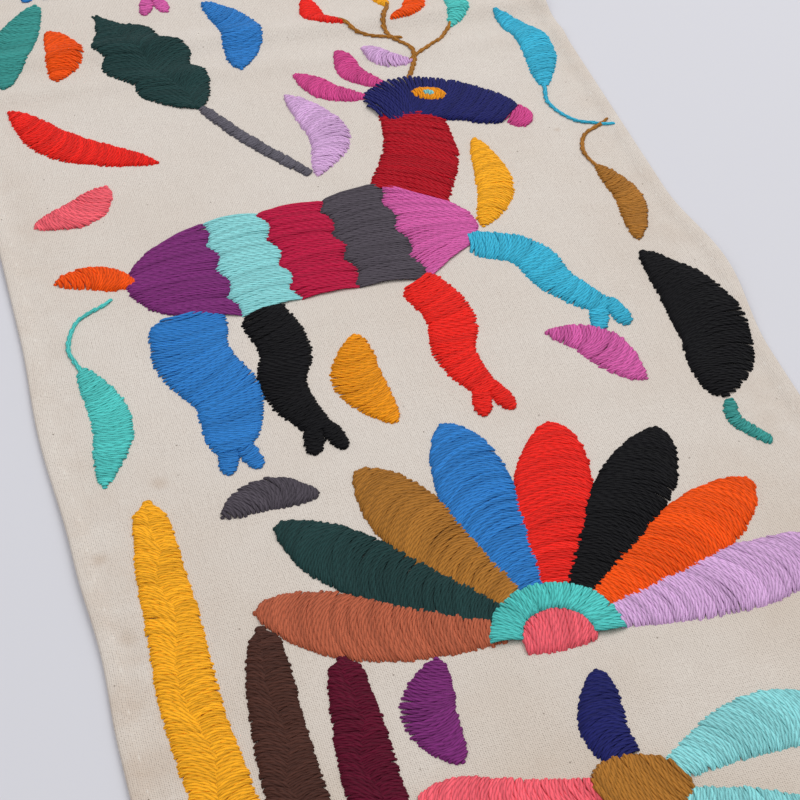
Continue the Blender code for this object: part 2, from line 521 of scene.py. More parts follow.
def cotton_material():
    """Unbleached plain-woven cotton, drawn at its real thread spacing."""
    material, shader = new_material("plain-woven cotton manta", {
        "Roughness": 0.93, "Sheen Weight": 0.18, "Sheen Roughness": 0.6,
        "Specular IOR Level": 0.25})
    tree = material.node_tree
    flat = add(tree, "ShaderNodeUVMap", uv_map="UVMap")
    height, pinhole_shade = woven_threads(tree, flat)
    slub = slubs(tree, flat)
    toward_near_end, patchy, smeared, stained = soiling(tree, flat)
    specks = seed_specks(tree, flat)
    marks = hem_marks(tree, flat)

    tone = add(tree, "ShaderNodeMapRange", {"Value": slub, "From Min": 0.6, "From Max": 1.4})
    colour = add(tree, "ShaderNodeMix", {"Factor": tone, "A": linear("DDD2C8"),
                 "B": linear("E8DFD5")}, out="Result", data_type="RGBA")
    for amount, strength, tint in (
        # Painted highlight on the thread crowns, darker to the near end, blotches, smears, stains,
        # painted shade in the pinholes, hem marks and seed
        (height, 0.2, "F1E9E0"),
        (toward_near_end, 0.32, "CDBCA8"),
        (patchy, 0.5, "C9B49E"),
        (smeared, 0.34, "B8987A"),
        (stained, 0.26, "A9835A"),
        (pinhole_shade, 0.78, "6B5C4E"),
        (marks, 0.5, "F3EDE3"),
        (specks, 1.0, "5A4636"),
    ):
        share = add(tree, MATH, (amount, strength), operation="MULTIPLY")
        colour = add(tree, "ShaderNodeMix", {"Factor": share, "A": colour, "B": linear(tint)},
                     out="Result", data_type="RGBA")
    tree.links.new(colour, shader.inputs["Base Color"])

    relief = add(tree, MATH, (slub, SLUB_RELIEF, height), operation="MULTIPLY_ADD")
    bump = add(tree, "ShaderNodeBump", {"Height": relief, "Strength": 0.55, "Distance": 0.16 * MM})
    tree.links.new(bump, shader.inputs["Normal"])
    return material


cotton = cotton_material()
cloth.data.materials.clear()
cloth.data.materials.append(cotton)
print("cotton nodes:", len(cotton.node_tree.nodes))

# %% [markdown]
# ## Stranded floss
# The needlework is stranded cotton floss, loosely twisted, about as wide as three threads of the
# cloth. Its strands lie nearly along the thread. It has a soft sheen and no gloss, and each stitch
# lies at its own angle, so it catches the light a little differently; that is painted in as a
# slightly different brightness in each stitch. The strands could be modelled one by one, but at
# about 0.4 mm they are too fine to pay for. Every stitch brings its own UV map, metres along and
# turns around, so slanted stripes of bump give the twist at its real pitch, a "tone" attribute
# gives each stitch its own painted light and shade, and the grooves of the twist get painted shade.

# %% Material: stranded cotton floss
TWIST_PITCH = 12 * MM
STRANDS = 4  # stripes around the floss, drawn coarser than its six strands
TONE_SHIFT = 7.0  # turns of the twist from the lowest tone to the highest
FIBRE_LENGTH = 0.4 * MM
FIBRE_RELIEF = 0.6  # height of the fuzz against that of a strand


def floss_material(name, hex_colour):
    """Stranded cotton floss in one colour, with its twist and a tone for each stitch."""
    material, shader = new_material("stranded cotton floss " + name, {
        "Roughness": 0.72, "Sheen Weight": 0.015, "Sheen Roughness": 0.45,
        "Specular IOR Level": 0.14})
    tree = material.node_tree

    # The twist: stripes that climb round the floss as they run along it
    own = add(tree, "ShaderNodeUVMap", uv_map="UVMap")
    run, turn, _ = add(tree, "ShaderNodeSeparateXYZ", (own,)).node.outputs
    tone = add(tree, "ShaderNodeAttribute", out="Fac", attribute_name="tone")
    start = add(tree, MATH, (tone, TONE_SHIFT, turn), operation="MULTIPLY_ADD")
    turns = add(tree, MATH, (run, -1 / TWIST_PITCH, start), operation="MULTIPLY_ADD")
    angle = add(tree, MATH, (turns, STRANDS * math.pi), operation="MULTIPLY")
    wave = add(tree, MATH, (angle,), operation="SINE")
    strand = add(tree, MATH, (wave,), operation="ABSOLUTE")

    # Fibres: fine fuzz over the strands
    spot = add(tree, "ShaderNodeTexCoord", out="Object")
    fuzz = add(tree, "ShaderNodeTexNoise", {"Vector": spot, "Scale": 1 / FIBRE_LENGTH,
               "Detail": 2.0})
    relief = add(tree, MATH, (fuzz, FIBRE_RELIEF, strand), operation="MULTIPLY_ADD")
    bump = add(tree, "ShaderNodeBump", {"Height": relief, "Strength": 0.9, "Distance": 0.28 * MM})
    tree.links.new(bump, shader.inputs["Normal"])

    # Painted light and shade: each stitch is painted a little lighter or darker by its tone, and
    # the grooves of the twist get painted shade
    bright = add(tree, "ShaderNodeMapRange", {"Value": tone, "To Min": 0.88, "To Max": 1.22})
    painted_groove_shade = add(tree, "ShaderNodeMapRange", {"Value": strand, "From Max": 0.7, "To Min": 0.68})
    value = add(tree, MATH, (bright, painted_groove_shade), operation="MULTIPLY")
    shade = add(tree, "ShaderNodeHueSaturation", {"Color": linear(hex_colour), "Value": value})
    tree.links.new(shade, shader.inputs["Base Color"])
    return material


print("strand stripes around the floss:", STRANDS)

# %% [markdown]
# ## One stitch, repeated by Geometry Nodes
# A satin stitch comes up through the cloth at one edge of a shape, lies over it, and goes down at
# the other edge, and its neighbours lie close beside it. Thousands of them could be drawn one by
# one or set by an array, but each has its own length, slant and bow. So the tree takes a line down
# the middle of each shape. Each point of the line carries the vector that reaches from the middle
# to the edge, the direction along the line, and how far a stitch bows. All sizes are named inputs.
# The tree walks the line by the stitch spacing and gives each place its random numbers, from a
# fixed seed, so that every run gives the same stitches.

# %% The stitch tree's inputs and places
TREE_INPUTS = (
    # name, socket type, value
    ("Stitch Spacing", "NodeSocketFloat", 1.1 * MM),
    ("Floss Width", "NodeSocketFloat", 1.8 * MM),
    ("Floss Height", "NodeSocketFloat", 0.95 * MM),
    ("Crown", "NodeSocketFloat", 0.55 * MM),
    ("Climb", "NodeSocketFloat", 1.6 * MM),
    ("Fray", "NodeSocketFloat", 0.5 * MM),
    ("Drift", "NodeSocketFloat", 0.15 * MM),
    ("Slew", "NodeSocketFloat", 0.15 * MM),
    ("Waver", "NodeSocketFloat", 0.36 * MM),
    ("Points per Stitch", "NodeSocketInt", 11),
    ("Sides", "NodeSocketInt", 6),
    ("Seed", "NodeSocketInt", 7),
    ("Floss Material", "NodeSocketMaterial", None),
)
SEED_STEP = 17.0


def scattered_points(tree, given):
    """Walk each line by the stitch spacing, and note each place and its random numbers."""
    lines = add(tree, "GeometryNodeMeshToCurve", (given["Lines"],))
    walked = add(tree, "GeometryNodeResampleCurve",
                 {"Curve": lines, "Length": given["Stitch Spacing"]}, mode="LENGTH")
    points = add(tree, "GeometryNodeCurveToPoints", {"Curve": walked}, mode="EVALUATED")
    root = add(tree, "GeometryNodeInputPosition")
    points = add(tree, "GeometryNodeStoreNamedAttribute",
                 {"Geometry": points, "Name": "root", "Value": root}, data_type="FLOAT_VECTOR")
    # The tone sets each stitch's painted brightness, and the start of its twist, in the floss
    # material
    for number, (name, lowest) in enumerate((("fray_start", -1.0), ("fray_end", -1.0),
                                             ("drift", -1.0), ("slew", -1.0), ("plump", -1.0),
                                             ("tone", 0.0))):
        seed = add(tree, MATH, (given["Seed"], SEED_STEP * number), operation="ADD")
        chance = add(tree, "FunctionNodeRandomValue", {"Min": lowest, "Max": 1.0, "Seed": seed},
                     out="Value", data_type="FLOAT")
        points = add(tree, "GeometryNodeStoreNamedAttribute",
                     {"Geometry": points, "Name": name, "Value": chance}, data_type="FLOAT")
    return points


print("inputs of the stitch tree:", len(TREE_INPUTS))

# %% [markdown]
# ## The bend of a stitch
# Seen from above, a stitch bows a little and leans as its neighbours do, and its ends are never
# quite in line, which gives a shape its small teeth. Seen from the side, it climbs out of the
# cloth, crowns over the middle of a wide shape and sinks back. These could be curves drawn by
# hand. Here one parameter u along the stitch gives all of it, with a little noise on top, because
# a soft thread never lies quite still.

# %% The place of each point of a stitch
LAYER_STEP = 0.75 * MM
SINK = 0.55 * MM
WANDER_LENGTH = 18 * MM
WAVER_LENGTH = 4 * MM
LEAN_WANDER = 0.12
CROWNED_HALF = 7 * MM
RIDE_UP = 0.36  # height of the line inside the floss above the cloth, as a share of its height
PLUMP_RIDE_UP = 0.05  # what the plumpest stitch adds to that
OWN_WAVER = 0.25
WAVER_SHARES = (4.0, 4.0, 1.5)  # more along the cloth than upwards


def stitch_place(tree, given):
    """Where each point of a stitch goes, and how far it has climbed out of the cloth, 0 to 1."""
    noted = {}
    for name, kind in (("root", "FLOAT_VECTOR"), ("reach", "FLOAT_VECTOR"),
                       ("along", "FLOAT_VECTOR"), ("bow", "FLOAT"), ("layer", "FLOAT"),
                       ("fray_start", "FLOAT"), ("fray_end", "FLOAT"), ("drift", "FLOAT"),
                       ("slew", "FLOAT"), ("plump", "FLOAT")):
        noted[name] = add(tree, "GeometryNodeInputNamedAttribute", {"Name": name}, data_type=kind)

    # u runs from 1 at one end of the stitch to -1 at the other, and middle is 1 - u squared
    share = add(tree, "GeometryNodeSplineParameter", out="Factor")
    angle = add(tree, MATH, (share, math.pi), operation="MULTIPLY")
    u = add(tree, MATH, (angle,), operation="COSINE")
    sine = add(tree, MATH, (angle,), operation="SINE")
    middle = add(tree, MATH, (sine, sine), operation="MULTIPLY")
    half = add(tree, VECTOR_MATH, (noted["reach"],), out="Value", operation="LENGTH")

    # Across: each end reaches a little past its edge or short of it
    fray = add(tree, "ShaderNodeMix", {"Factor": share, "A": noted["fray_start"],
               "B": noted["fray_end"]}, data_type="FLOAT")
    reached = add(tree, MATH, (fray, given["Fray"], half), operation="MULTIPLY_ADD")
    outward = add(tree, MATH, (reached, u), operation="MULTIPLY")

    # Sideways: the bow, a random drift and a slow lean that neighbours share
    cloud = add(tree, "ShaderNodeTexNoise", {"Vector": noted["root"],
                "Scale": 1 / WANDER_LENGTH, "Detail": 1.0})
    lean = add(tree, "ShaderNodeMapRange", {"Value": cloud, "From Min": 0.3, "From Max": 0.7,
               "To Min": -LEAN_WANDER, "To Max": LEAN_WANDER})
    slewed = add(tree, MATH, (noted["slew"], given["Slew"]), operation="MULTIPLY")
    slewed = add(tree, MATH, (slewed, u), operation="MULTIPLY")
    leaning = add(tree, MATH, (lean, outward, slewed), operation="MULTIPLY_ADD")
    bowed = add(tree, MATH, (noted["drift"], given["Drift"], noted["bow"]),
                operation="MULTIPLY_ADD")
    sideways = add(tree, MATH, (bowed, middle, leaning), operation="MULTIPLY_ADD")

    # Height: up through the cloth, over, and down again
    end_gap = add(tree, MATH, (middle, half), operation="MULTIPLY")
    climb = add(tree, "ShaderNodeMapRange", {"Value": end_gap, "From Max": given["Climb"]},
                interpolation_type="SMOOTHERSTEP")
    ride_up = add(tree, MATH, (noted["plump"], PLUMP_RIDE_UP, RIDE_UP),
                  operation="MULTIPLY_ADD")
    top = add(tree, MATH, (ride_up, given["Floss Height"]), operation="MULTIPLY")
    top = add(tree, MATH, (noted["layer"], LAYER_STEP, top), operation="MULTIPLY_ADD")
    crown = add(tree, "ShaderNodeMapRange", {"Value": half, "From Max": CROWNED_HALF,
                "To Max": given["Crown"]})
    top = add(tree, MATH, (crown, middle, top), operation="MULTIPLY_ADD")
    height = add(tree, "ShaderNodeMapRange", {"Value": climb, "To Min": -SINK, "To Max": top},
                 clamp=False)

    # All three added to the stitch's root on the line
    heading = add(tree, VECTOR_MATH, (noted["reach"],), operation="NORMALIZE")
    place = noted["root"]
    for direction, distance in ((heading, outward), (noted["along"], sideways),
                                ((0.0, 0.0, 1.0), height)):
        step = add(tree, VECTOR_MATH, {0: direction, "Scale": distance}, operation="SCALE")
        place = add(tree, VECTOR_MATH, (place, step), operation="ADD")

    # Each stitch wavers a little, nearly as its neighbours do
    own_seed = add(tree, MATH, (noted["plump"], OWN_WAVER), operation="MULTIPLY")
    waver = add(tree, "ShaderNodeTexNoise", {"Vector": place, "W": own_seed,
                "Scale": 1 / WAVER_LENGTH, "Detail": 1.0}, out="Color", noise_dimensions="4D")
    waver = add(tree, VECTOR_MATH, (waver, (0.5, 0.5, 0.5)), operation="SUBTRACT")
    freedom = add(tree, MATH, (climb, given["Waver"]), operation="MULTIPLY")
    waver = add(tree, VECTOR_MATH, {0: waver, "Scale": freedom}, operation="SCALE")
    place = add(tree, VECTOR_MATH, (waver, WAVER_SHARES, place), operation="MULTIPLY_ADD")
    return place, climb


print("a layer of stitches rises by, mm:", LAYER_STEP / MM)

# %% [markdown]
# ## The thread's body
# Loosely twisted floss spreads on the cloth, so its section is wider than it is high. A circle
# with a bevel would stay round. A ring of six sides, flattened and swept along the bent curve,
# costs little, and six sides are enough for a thread under 2 mm wide that is seen from more than
# half a metre. The seam lies underneath.

# %% The floss's section
def floss_section(tree, given):
    """The floss's section: a flattened ring that lies on a flat side, its seam underneath."""
    ring = add(tree, "GeometryNodeCurvePrimitiveCircle",
               {"Resolution": given["Sides"], "Radius": 0.5})
    turn = add(tree, "GeometryNodeSplineParameter", out="Factor")
    ring = add(tree, "GeometryNodeStoreNamedAttribute",
               {"Geometry": ring, "Name": "turn", "Value": turn}, data_type="FLOAT")
    half_side = add(tree, MATH, (math.pi, given["Sides"]), operation="DIVIDE")
    angle = add(tree, MATH, (half_side, math.pi / 2), operation="ADD")
    spin = add(tree, "ShaderNodeCombineXYZ", {"Z": angle})
    ring = add(tree, "GeometryNodeTransform", {"Geometry": ring, "Rotation": spin})
    flatten = add(tree, "ShaderNodeCombineXYZ",
                  {"X": given["Floss Width"], "Y": given["Floss Height"], "Z": 1.0})
    return add(tree, "GeometryNodeTransform", {"Geometry": ring, "Scale": flatten})


floss_sizes = {name: value for name, _, value in TREE_INPUTS}
print("height of the floss against its width:",
      floss_sizes["Floss Height"] / floss_sizes["Floss Width"])

# %% [markdown]
# ## The whole stitch tree
# Each stitch is drawn down until it lies firmly, so it is thinnest at both ends. The tree now
# joins the steps: it sets short curves at the places, bends them, sweeps the section along them,
# and notes where each point is on its thread. A curve with a bevel object would do for one stitch,
# but the tree makes thousands at once, all closed at their ends.

# %% The tree as a whole
PLUMP = 0.94  # thickness of an average stitch
PLUMPER = 0.08  # what the plumpest stitch adds to that
TUCKED = 0.7  # thickness that is left at both ends, inside the cloth


def stitch_tree():
    """The tree that turns lines with edge vectors into closed, rounded stitches."""
    tree = bpy.data.node_groups.new("satin stitches", "GeometryNodeTree")
    tree.interface.new_socket("Lines", in_out="INPUT", socket_type="NodeSocketGeometry")
    for name, kind, value in TREE_INPUTS:
        socket = tree.interface.new_socket(name, in_out="INPUT", socket_type=kind)
        if value is not None:
            socket.default_value = value
    tree.interface.new_socket("Stitches", in_out="OUTPUT", socket_type="NodeSocketGeometry")
    given = add(tree, "NodeGroupInput").node.outputs

    # Set a short curve at each place
    points = scattered_points(tree, given)
    thread = add(tree, "GeometryNodeCurvePrimitiveLine", {"Start": (0, 0, 0), "End": (MM, 0, 0)})
    thread = add(tree, "GeometryNodeResampleCurve",
                 {"Curve": thread, "Count": given["Points per Stitch"]}, mode="COUNT")
    placed = add(tree, "GeometryNodeInstanceOnPoints", {"Points": points, "Instance": thread})
    loose = add(tree, "GeometryNodeRealizeInstances", (placed,))

    # Bend it into a stitch, then sweep the floss's section along it
    place, climb = stitch_place(tree, given)
    bent = add(tree, "GeometryNodeSetPosition", {"Geometry": loose, "Position": place})
    bent = add(tree, "GeometryNodeSetCurveNormal", {"Curve": bent}, mode="Z_UP")
    run = add(tree, "GeometryNodeSplineParameter", out="Length")
    bent = add(tree, "GeometryNodeStoreNamedAttribute",
               {"Geometry": bent, "Name": "run", "Value": run}, data_type="FLOAT")
    plump = add(tree, "GeometryNodeInputNamedAttribute", {"Name": "plump"}, data_type="FLOAT")
    thick = add(tree, MATH, (plump, PLUMPER, PLUMP), operation="MULTIPLY_ADD")
    tucked = add(tree, MATH, (climb, 1 - TUCKED, TUCKED), operation="MULTIPLY_ADD")
    thick = add(tree, MATH, (thick, tucked), operation="MULTIPLY")
    swept = add(tree, "GeometryNodeCurveToMesh", {"Curve": bent, "Scale": thick,
                "Profile Curve": floss_section(tree, given), "Fill Caps": True})

    # The UV map: metres along the stitch, and turns around the floss
    own_map = [add(tree, "GeometryNodeInputNamedAttribute", {"Name": name}, data_type="FLOAT")
               for name in ("run", "turn")]
    own_map = add(tree, "ShaderNodeCombineXYZ", own_map)
    swept = add(tree, "GeometryNodeStoreNamedAttribute", {"Geometry": swept, "Name": "UVMap",
                "Value": own_map}, data_type="FLOAT2", domain="CORNER")
    swept = add(tree, "GeometryNodeSetShadeSmooth", {"Geometry": swept})
    whole = add(tree, "GeometryNodeRealizeInstances", {"Geometry": swept})
    whole = add(tree, "GeometryNodeSetMaterial",
                {"Geometry": whole, "Material": given["Floss Material"]})
    add(tree, "NodeGroupOutput", {"Stitches": whole})
    return tree


satin = stitch_tree()
print("stitch tree nodes:", len(satin.nodes))

# %% [markdown]
# ## Drawing the shapes
# On the real cloth a pencil line is filled with stitches, shape by shape. Here a shape is drawn
# by a spine of a few points and a width, and the edges follow from a smooth profile. Outlines
# could be drawn as closed curves and hatched, but a spine also says which way the stitches run. A
# Place sets a whole motif on the cloth, so that its own points stay simple numbers in millimetres.

# %% Places, smooth lines and notes of shapes
SPINE_POINTS = 40
CURVE_STEPS = 24


class Place:
    """Where a motif sits: its origin on the cloth in mm, its turn, size and mirroring."""

    def __init__(self, x=0.0, y=0.0, turn=0.0, size=1.0, mirror=1):
        self.origin = np.array([x, y])
        self.size = size
        angle = math.radians(turn)
        side = np.array([math.cos(angle), math.sin(angle)])
        self.axes = size * np.array([side * mirror, [-side[1], side[0]]])

    def __call__(self, points):
        return np.asarray(points, float) @ self.axes + self.origin


HERE = Place()
shapes = {}
stalks = {}


def smooth_line(points, count=SPINE_POINTS):
    """Points evenly spread along a smooth curve through a few given points."""
    ends = np.vstack([2 * points[0] - points[1], points, 2 * points[-1] - points[-2]])
    pieces = []
    t = np.linspace(0, 1, CURVE_STEPS, endpoint=False)[:, None]
    for a, b, c, d in zip(ends[:-3], ends[1:-2], ends[2:-1], ends[3:]):
        pieces.append(b + t * (c - a) / 2 + t ** 2 * (a - 2.5 * b + 2 * c - d / 2)
                      + t ** 3 * (1.5 * (b - c) + (d - a) / 2))
    fine = np.vstack(pieces + [points[-1:]])
    reached = np.append(0, np.cumsum(np.linalg.norm(np.diff(fine, axis=0), axis=1)))
    spread = np.linspace(0, reached[-1], count)
    return np.stack([np.interp(spread, reached, fine[:, axis]) for axis in (0, 1)], axis=1)


def directions(spine):
    """At each point of a line, the direction along it and the one across it."""
    along = np.gradient(spine, axis=0)
    along /= np.linalg.norm(along, axis=1)[:, None]
    return along, np.stack([-along[:, 1], along[:, 0]], axis=1)


def note(floss, spine, reach, bow, layer, kept=shapes):
    """Keep one shape: its spine, the reach of its stitches, their bow and how high they lie."""
    along, _ = directions(spine)
    bow = np.broadcast_to(bow, len(spine))
    kept.setdefault(floss, []).append((spine, reach, along, bow, layer))


print("points along each spine:", SPINE_POINTS)

# %% [markdown]
# ## Leaves and bands
# Four ways of filling cover the whole cloth. The first two have stitches from edge to edge: a
# leaf, petal or limb a little slanted, and a body band from one border to the next. Each could be
# an outline that is hatched, but a width along a spine gives the edge and the stitches' direction
# at once. A fill only notes its line and the reach of its stitches, because the tree does the rest.

# %% Stitches from edge to edge
OVERLAP = 0.6  # mm that bands reach over their borders


def leaf_profile(fullest, blunt, ends):
    """Share of a leaf's full width from foot to tip: 1 where fullest, less at its two ends."""
    share = np.linspace(0, 1, SPINE_POINTS)
    profile = np.sin(math.pi * share ** (math.log(0.5) / math.log(fullest))) ** blunt
    floor = ends[0] + (ends[1] - ends[0]) * share
    return floor + (1 - floor) * profile


def leaf(floss, points, width, fullest=0.5, blunt=0.6, ends=(0.14, 0.12), slant=-18, bow=0.4,
         layer=0, place=HERE):
    """A leaf, petal, limb or stalk: widest at a share of its spine, with ends of given width."""
    spine = smooth_line(place(points))
    along, across = directions(spine)
    half = place.size * width / 2 * leaf_profile(fullest, blunt, ends)
    reach = half[:, None] * (across + math.tan(math.radians(slant)) * along)
    note(floss, spine, reach, bow * half ** 2 / half.max(), layer)


def between(floss, left, right, bow=0.1, layer=0, place=HERE):
    """Fill between two borders, with stitches from one to the other."""
    left_line = smooth_line(place(left))
    right_line = smooth_line(place(right))
    reach = (left_line - right_line) / 2
    half = np.linalg.norm(reach, axis=1)
    reach *= (1 + OVERLAP / np.maximum(half, OVERLAP))[:, None]
    note(floss, (left_line + right_line) / 2, reach, bow * half, layer)


print("share of a leaf's width at its quarters:",
      leaf_profile(0.5, 0.6, (0.14, 0.12))[[10, 20, 30]])

# %% [markdown]
# ## Blades and stalks
# A long blade is worked in two rows of slanted stitches that meet down its middle, where the real
# seam wanders from side to side. Even rows would be simpler but look made by a machine, so slow
# waves move the seam and the slant. A thin stalk is a row of long links, each over the end of the
# last.

# %% Paired rows and ropes
INTERLOCK = 1.8  # mm that paired rows reach over the middle
SEAM_SWAY = 2.0  # mm
SEAM_WAVE = 5.5  # mm for each radian of the seam's waves, which is a wave in about 35 mm
SEAM_DRIFT = 19  # mm for each radian by which those waves drift
SLANT_SWAY = 6  # degrees
SLANT_WAVE = 6.5  # mm for each radian
ROPE_STITCH = 6.6  # mm


def paired_rows(floss, spine, half, slant=24):
    """Fill a shape with two rows of slanted stitches that interlock down its middle."""
    along, across = directions(spine)
    walked = np.append(0, np.cumsum(np.linalg.norm(np.diff(spine, axis=0), axis=1)))
    waves = np.sin(walked / SEAM_WAVE + 2 * np.sin(walked / SEAM_DRIFT))
    seam = SEAM_SWAY * half / half.max() * waves
    for side in (-1, 1):
        edge = spine + side * half[:, None] * across
        inner = spine + (seam - side * INTERLOCK)[:, None] * across
        slanted = np.tan(np.radians(slant + SLANT_SWAY * np.sin(walked / SLANT_WAVE + side)))
        reach = (edge - inner) / 2 + (half / 2 * slanted)[:, None] * along
        note(floss, (edge + inner) / 2, reach, 0.15 * half, 0)


def rope(floss, points, width=1.9, place=HERE):
    """A thin stalk or line: slanted stitches that follow it, each over the end of the last."""
    spine = smooth_line(place(points))
    along, across = directions(spine)
    note(floss, spine, ROPE_STITCH / 2 * along + (width - 1) / 2 * across, 0.1 * width, 0, stalks)


print("length of a wave in the seam, mm:", 2 * math.pi * SEAM_WAVE)

# %% [markdown]
# ## An animal
# Otomi needlework fills its animals in blocks of flat colour, each stitched in one direction:
# bands along the body, and single blocks for the legs, neck and head. The animal could be traced
# from a drawing, but this one is the lesson's own, a standing horned animal with a leaf at the end
# of every tine. It is drawn once in its own millimetres, and its colours are given when it is set.

# %% The body in bands
SCALLOP_DEPTH = 2.8  # mm
SCALLOPS = 3.5  # from the belly to the back
BODY_SECTIONS = (
    # x, belly, back, bulge
    (-48, -14, 20, -12),
    (-31, -21, 28, 0),
    (-11, -19, 28, 0),
    (10, -19, 27, 0),
    (31, -22, 31, 0),
    (51, -10, 14, 7),
)


def wavy_border(x, low, high, number, bulge):
    """The border between two body bands: small scallops from the belly up to the back."""
    rise = np.linspace(0, 1, 33)
    scallop = SCALLOP_DEPTH * np.abs(np.sin(math.pi * (SCALLOPS * rise + 0.3 * number)))
    if bulge:
        scallop = bulge * np.sin(math.pi * rise) ** 0.7
    return np.stack([x + scallop, low + (high - low) * rise], axis=1)


def animal_body(place, bands):
    """The barrel of the body as upright bands from rump to chest."""
    borders = [wavy_border(x, low, high, number, bulge)
               for number, (x, low, high, bulge) in enumerate(BODY_SECTIONS)]
    for floss, rear, front in zip(bands, borders, borders[1:]):
        between(floss, front, rear, place=place)


print("depth of the scallops between two bands, mm:", wavy_border(0, 0, 1, 1, 0)[:, 0].max())

# %% [markdown]
# ## Legs and head
# Legs, neck and head are single shapes, each stitched across its own length, so that the sheen
# turns from one to the next. They could be one outline, but then all the stitches would run one
# way. A leg is a leaf that is widest near its top and ends bluntly, a hoof is two short leaves,
# and the eye is stitched over the head, a layer higher.

# %% Legs and head
LEG_ROUTES = (
    # points, width, fullest
    ([(-45, -14), (-48, -35), (-42, -56), (-46, -78)], 25, 0.2),
    ([(-23, -20), (-20, -40), (-25, -58), (-20, -78)], 17, 0.2),
    ([(29, -22), (33, -42), (29, -60), (33, -78)], 16, 0.2),
    ([(52, -9), (67, -19), (71, -38), (80, -53)], 15, 0.24),
)


def animal_legs(place, legs):
    """Four legs with parted hooves: two hind, one standing fore and one raised."""
    for floss, (points, width, fullest) in zip(legs, LEG_ROUTES):
        leaf(floss, points, width, fullest, 0.5, (0.75, 0.45), -16, 0.2, place=place)
        x, y = points[-1]
        for side in (-1, 1):
            hoof = [(x + 1.5 * side, y + 3), (x + 4.6 * side, y - 10)]
            leaf(floss, hoof, 6.4, 0.5, 0.5, (0.5, 0.35), place=place)


def animal_head(place, neck, chest, head, ears, eye):
    """Neck, chest patch, a long head with its eye, and two ears."""
    between(neck, [(53, 14), (65, 38), (68, 62)], [(31, 31), (43, 52), (47, 70)], place=place)
    leaf(chest, [(60, -2), (71, 16), (74, 46)], 13, 0.45, 0.75, place=place)
    leaf(head, [(46, 72), (60, 77), (77, 68), (91, 56)], 26, 0.32, 0.5, (0.4, 0.5), 6, 0.15,
         0.5, place)
    leaf(ears, [(90, 57), (97, 51)], 13, 0.45, 0.5, (0.7, 0.4), place=place)
    leaf(ears, [(46, 82), (34, 90), (25, 104)], 11, 0.5, 0.7, place=place)
    leaf(ears, [(55, 87), (46, 98), (44, 113)], 10, 0.5, 0.7, place=place)
    ring, pupil = eye
    leaf(ring, [(61, 77), (73, 74)], 9, 0.5, 0.5, layer=1.4, place=place)
    leaf(pupil, [(65, 76.3), (69, 75)], 4, 0.5, 0.5, layer=2.2, place=place)


print("widest part of each leg, mm:", [width for _, width, _ in LEG_ROUTES])

# %% [markdown]
# ## Antlers, and the whole animal
# A thin branching line is slow to fill from edge to edge, so it is worked in long links, like a
# stalk. The antlers are three such lines with five leaves on them. Two animals could be drawn one
# after the other, but a function draws the whole animal on a Place and in the colours it is given,
# so the second is no more work than the first.

# %% Antlers, and the animal as a whole
ANTLER_LEAVES = ([(90, 116), (97, 126), (97, 140)], [(52, 129), (44, 138), (43, 153)],
                 [(72, 137), (72, 148), (79, 161)], [(70, 126), (80, 131), (85, 145)],
                 [(70, 99), (60, 103), (54, 113)])


def antlers(place, beam, tines):
    """A curved beam with a leaf at the end of every tine."""
    rope(beam, [(64, 88), (71, 104), (66, 122), (72, 138)], 2.6, place)
    rope(beam, [(70, 101), (82, 108), (90, 117)], 2.2, place)
    rope(beam, [(68, 116), (57, 122), (52, 130)], 2.2, place)
    for floss, points in zip(tines, ANTLER_LEAVES):
        leaf(floss, points, 9, 0.55, 0.7, place=place)


def animal(place, bands, legs, tail, neck, chest, head, ears, tines, beam, eye):
    """A standing horned animal that faces the motif's right."""
    leaf(tail, [(-82, 13), (-69, 12), (-57, 6)], 13, 0.5, 0.7, place=place)
    animal_legs(place, legs)
    animal_body(place, bands)
    animal_head(place, neck, chest, head, ears, eye)
    antlers(place, beam, tines)


print("leaves on the antlers:", len(ANTLER_LEAVES))

# %% [markdown]
# ## A fan and half flowers
# Beside the animals stand a fan of leaves that is gathered by two curved collars, and half flowers
# whose petals spring from a round centre. Each petal could be drawn on its own, but they repeat
# with a small change each, so loops over angles place them. The numbers in each function are the
# motif's own millimetres and degrees.

# %% Leaves and petals set by angles
def fan(place, flosses, collars, low=10.0, high=160.0, inner=17.0, outer=98.0, width=26.0):
    """Long leaves spread like a fan, gathered by two curved collars."""
    angles = np.radians(np.linspace(high, low, len(flosses)))
    for number, (floss, angle) in enumerate(zip(flosses, angles)):
        length = outer - 5 * ((number + 1) % 2)
        middle = (inner + length) / 2
        bend = angle - 0.05 * math.cos(angle)
        points = [(inner * math.cos(angle), inner * math.sin(angle)),
                  (middle * math.cos(bend), middle * math.sin(bend)),
                  (length * math.cos(angle), length * math.sin(angle))]
        leaf(floss, points, width, 0.6, 0.62, (0.36, 0.08), place=place)
    swing = np.radians(np.linspace(high + 14, low - 14, 9))
    circle = np.stack([np.cos(swing), np.sin(swing)], axis=1)
    between(collars[0], circle * 21, circle * 11, layer=0.8, place=place)
    between(collars[1], circle * 11, circle * (10.5, -1) - (0, 4), layer=0.3, place=place)


def half_flower(place, petals, centre, sepal, spread=(190.0, -10.0), length=60.0, width=23.0):
    """Petals that spring from a round centre, with a pointed sepal behind."""
    angles = np.radians(np.linspace(*spread, len(petals)))
    for (floss, share), angle in zip(petals, angles):
        heading = np.array([math.cos(angle), math.sin(angle)])
        lean = np.array([-heading[1], heading[0]]) * 3
        tip = 12 + length * share
        points = [heading * 12, heading * (12 + tip) / 2 + lean, heading * tip]
        leaf(floss, points, width * (0.6 + 0.4 * share), 0.62, 0.58, (0.4, 0.12), place=place)
    leaf(sepal, [(0, -8), (3, -22), (-2, -42)], 15, 0.4, 0.6, (0.5, 0.15), place=place)
    leaf(centre, [(-12, -1), (12, 1)], 23, 0.5, 0.5, (0.45, 0.45), -18, 0.15, 0.9, place)


print("a fan's two angles, two radii and leaf width:", fan.__defaults__)

